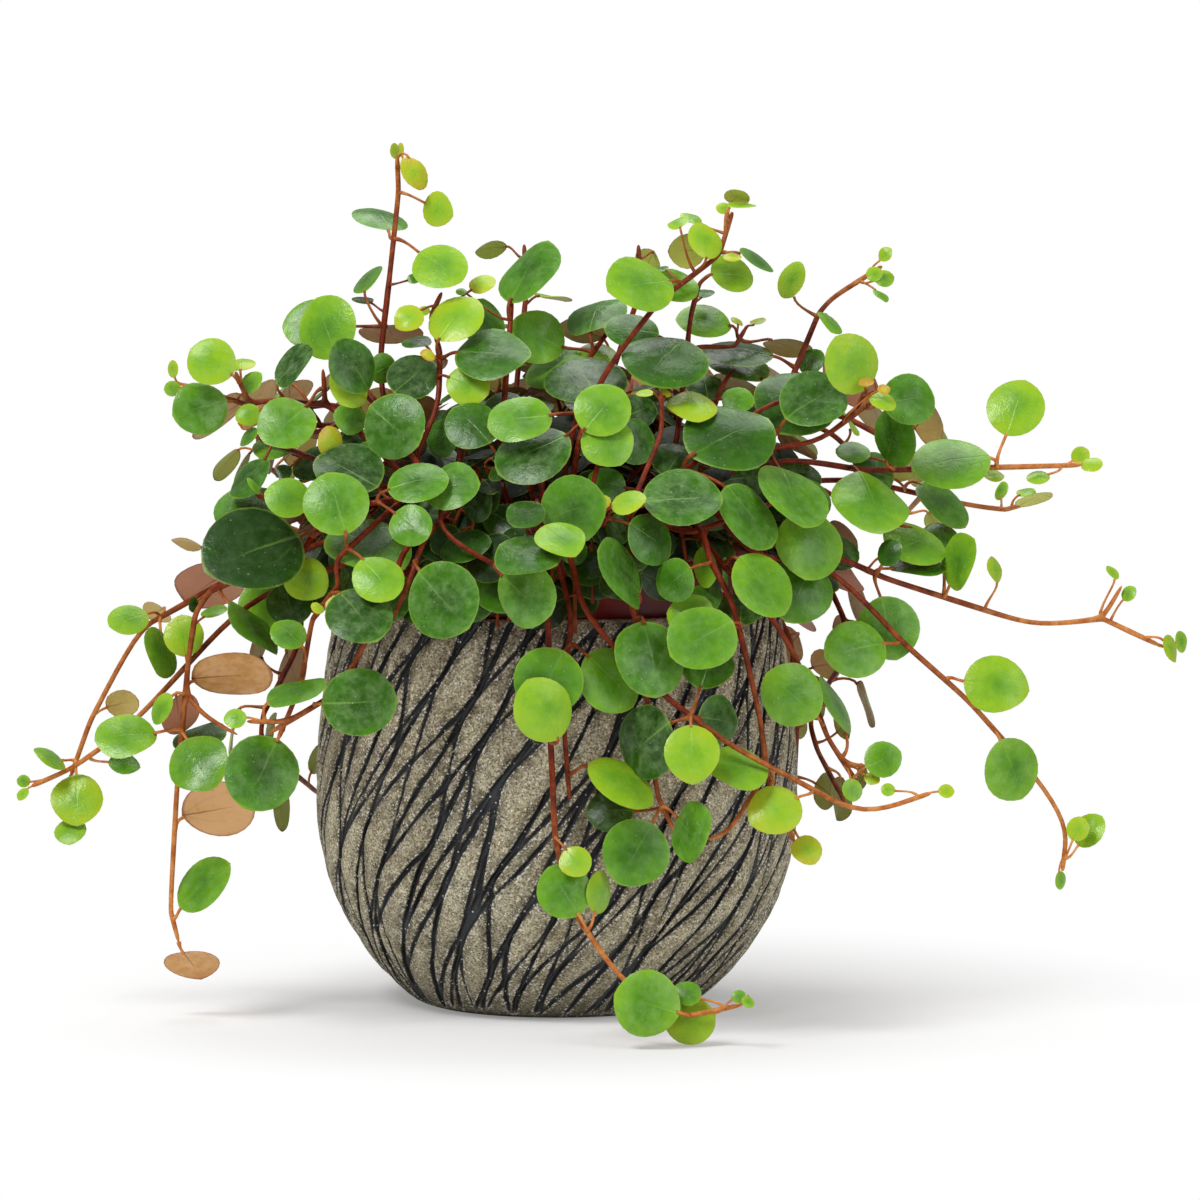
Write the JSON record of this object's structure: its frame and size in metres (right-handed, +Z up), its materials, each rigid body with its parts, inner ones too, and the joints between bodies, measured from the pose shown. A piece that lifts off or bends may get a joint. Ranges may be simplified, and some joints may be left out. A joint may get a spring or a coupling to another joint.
{
  "type": "potted peperomia plant",
  "caption": "Trailing house plant with small round waxy green leaves on thin red-brown stems, in a grooved grey stoneware cover pot with a flat base.",
  "frame": {"origin": "middle of the cover pot's flat base, on the surface that it stands on", "axes": "+Z up along the pot's axis, -Y towards the front, +X to the right seen from the front"},
  "size_m": [0.3662, 0.2633, 0.2705],
  "materials": {
    "cover_pot": "matte gritty stoneware with dark grooves",
    "nursery_pot": "satin red-brown plastic",
    "soil": "loose dark compost",
    "foliage": "waxy satin leaf, dark to lime green",
    "stems": "satin red-brown living stem"
  },
  "bodies": {
    "root": {"cover_pot": "cover_pot", "nursery_pot": "nursery_pot", "shoot_arm_left": "foliage", "shoot_back_arching_142": "foliage", "shoot_back_arching_34": "foliage", "shoot_back_arching_76": "foliage", "shoot_back_mound_104": "foliage", "shoot_back_mound_135": "foliage", "shoot_back_mound_172": "foliage", "shoot_back_mound_45": "foliage", "shoot_back_mound_5": "foliage", "shoot_back_mound_70": "foliage", "shoot_back_trailing_128": "foliage", "shoot_back_trailing_15": "foliage", "shoot_back_trailing_163": "foliage", "shoot_back_trailing_52": "foliage", "shoot_back_trailing_90": "foliage", "shoot_back_upright_112": "foliage", "shoot_back_upright_60": "foliage", "shoot_bud_right": "foliage", "shoot_centre_sprig": "foliage", "shoot_cross_front": "foliage", "shoot_crown_centre": "foliage", "shoot_crown_left": "foliage", "shoot_crown_mid": "foliage", "shoot_crown_right": "foliage", "shoot_diagonal_left": "foliage", "shoot_diagonal_right": "foliage", "shoot_drop_front_centre": "foliage", "shoot_drop_front_right": "foliage", "shoot_drop_front_twin": "foliage", "shoot_fall_right": "foliage", "shoot_fall_right_front": "foliage", "shoot_fan_right": "foliage", "shoot_front_inner": "foliage", "shoot_front_left": "foliage", "shoot_front_mid": "foliage", "shoot_front_mid_left": "foliage", "shoot_front_mid_right": "foliage", "shoot_hang_left": "foliage", "shoot_hang_left_inner": "foliage", "shoot_mid_left": "foliage", "shoot_mound_centre": "foliage", "shoot_mound_left": "foliage", "shoot_mound_left_low": "foliage", "shoot_mound_left_top": "foliage", "shoot_mound_mid": "foliage", "shoot_mound_right": "foliage", "shoot_mound_right_low": "foliage", "shoot_mound_right_top": "foliage", "shoot_reach_left_low": "foliage", "shoot_reach_left_top": "foliage", "shoot_reach_right_high": "foliage", "shoot_reach_right_low": "foliage", "shoot_reach_right_mid": "foliage", "shoot_upright_left": "foliage", "shoot_upright_right": "foliage", "soil": "soil"}
  },
  "joints": []
}
